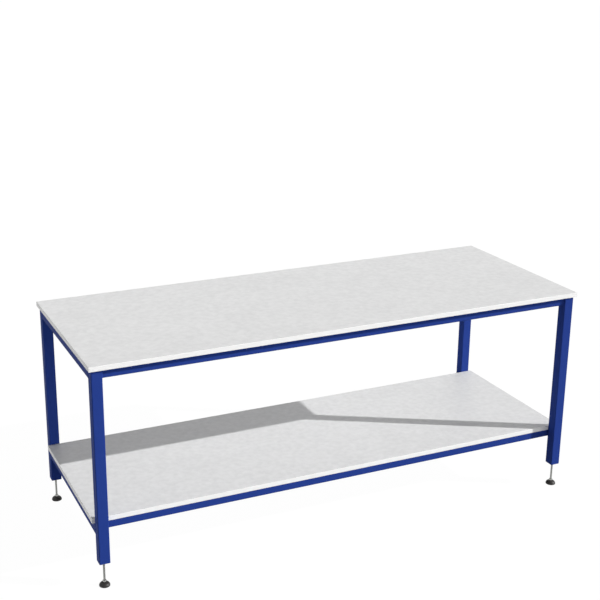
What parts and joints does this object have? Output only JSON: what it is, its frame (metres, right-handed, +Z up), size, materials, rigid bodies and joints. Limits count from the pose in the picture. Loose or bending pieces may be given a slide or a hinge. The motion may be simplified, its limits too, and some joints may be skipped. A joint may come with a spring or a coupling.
{
  "type": "assembly table",
  "caption": "Long workshop assembly table: edged laminate worktop and full-length lower shelf on a welded blue box-section frame with screw-adjusted levelling feet.",
  "frame": {"origin": "on the floor under the middle of the table, midway between the four feet", "axes": "+X along the table's length to its right end, +Y from its front to its rear, +Z up"},
  "size_m": [2, 0.75, 0.85],
  "materials": {
    "frame_paint": "semi-gloss blue powder coat",
    "laminate_board": "pale grey melamine-faced chipboard, fine pearl texture",
    "edging": "white edging strip, satin",
    "zinc_steel": "bright zinc plated steel",
    "black_nylon": "moulded black nylon, satin gloss"
  },
  "bodies": {
    "frame": {"worktop_board": "laminate_board", "worktop_edging_front": "edging", "worktop_edging_rear": "edging", "worktop_edging_left": "edging", "worktop_edging_right": "edging", "shelf_board": "laminate_board", "shelf_edging_front": "edging", "shelf_edging_rear": "edging", "shelf_edging_left": "edging", "shelf_edging_right": "edging", "top_rail_front": "frame_paint", "shelf_rail_front": "frame_paint", "top_rail_rear": "frame_paint", "shelf_rail_rear": "frame_paint", "top_rail_left": "frame_paint", "shelf_rail_left": "frame_paint", "top_rail_right": "frame_paint", "shelf_rail_right": "frame_paint", "top_cross_rail": "frame_paint", "shelf_cross_rail": "frame_paint", "worktop_fixing_tabs": "frame_paint", "worktop_screws": "zinc_steel", "shelf_fixing_tabs": "frame_paint", "shelf_screws": "zinc_steel", "leg_front_left": "frame_paint", "leg_plug_front_left": "frame_paint", "leg_front_right": "frame_paint", "leg_plug_front_right": "frame_paint", "leg_rear_left": "frame_paint", "leg_plug_rear_left": "frame_paint", "leg_rear_right": "frame_paint", "leg_plug_rear_right": "frame_paint"},
    "pad_front_left": {"foot_pad_front_left": "black_nylon"},
    "stem_front_left": {"foot_stem_front_left": "zinc_steel"},
    "pad_front_right": {"foot_pad_front_right": "black_nylon"},
    "stem_front_right": {"foot_stem_front_right": "zinc_steel"},
    "pad_rear_left": {"foot_pad_rear_left": "black_nylon"},
    "stem_rear_left": {"foot_stem_rear_left": "zinc_steel"},
    "pad_rear_right": {"foot_pad_rear_right": "black_nylon"},
    "stem_rear_right": {"foot_stem_rear_right": "zinc_steel"}
  },
  "joints": [
    {"name": "foot_front_left_height", "type": "slide", "parent": "frame", "child": "pad_front_left", "axis": [0, 0, -1], "range_m": [-0.072, 0.02]},
    {"name": "foot_front_left_screw", "type": "hinge", "parent": "pad_front_left", "child": "stem_front_left", "pos_m": [-0.971, -0.346, 0.05], "axis": [0, 0, 1], "range_deg": [-5761, 20737]},
    {"name": "foot_front_right_height", "type": "slide", "parent": "frame", "child": "pad_front_right", "axis": [0, 0, -1], "range_m": [-0.072, 0.02]},
    {"name": "foot_front_right_screw", "type": "hinge", "parent": "pad_front_right", "child": "stem_front_right", "pos_m": [0.971, -0.346, 0.05], "axis": [0, 0, 1], "range_deg": [-5761, 20737]},
    {"name": "foot_rear_left_height", "type": "slide", "parent": "frame", "child": "pad_rear_left", "axis": [0, 0, -1], "range_m": [-0.072, 0.02]},
    {"name": "foot_rear_left_screw", "type": "hinge", "parent": "pad_rear_left", "child": "stem_rear_left", "pos_m": [-0.971, 0.346, 0.05], "axis": [0, 0, 1], "range_deg": [-5761, 20737]},
    {"name": "foot_rear_right_height", "type": "slide", "parent": "frame", "child": "pad_rear_right", "axis": [0, 0, -1], "range_m": [-0.072, 0.02]},
    {"name": "foot_rear_right_screw", "type": "hinge", "parent": "pad_rear_right", "child": "stem_rear_right", "pos_m": [0.971, 0.346, 0.05], "axis": [0, 0, 1], "range_deg": [-5761, 20737]}
  ],
  "couplings": [
    {"joint": "foot_front_left_screw", "follows": "foot_front_left_height", "rad_per_m": -5026.5},
    {"joint": "foot_front_right_screw", "follows": "foot_front_right_height", "rad_per_m": -5026.5},
    {"joint": "foot_rear_left_screw", "follows": "foot_rear_left_height", "rad_per_m": -5026.5},
    {"joint": "foot_rear_right_screw", "follows": "foot_rear_right_height", "rad_per_m": -5026.5}
  ]
}
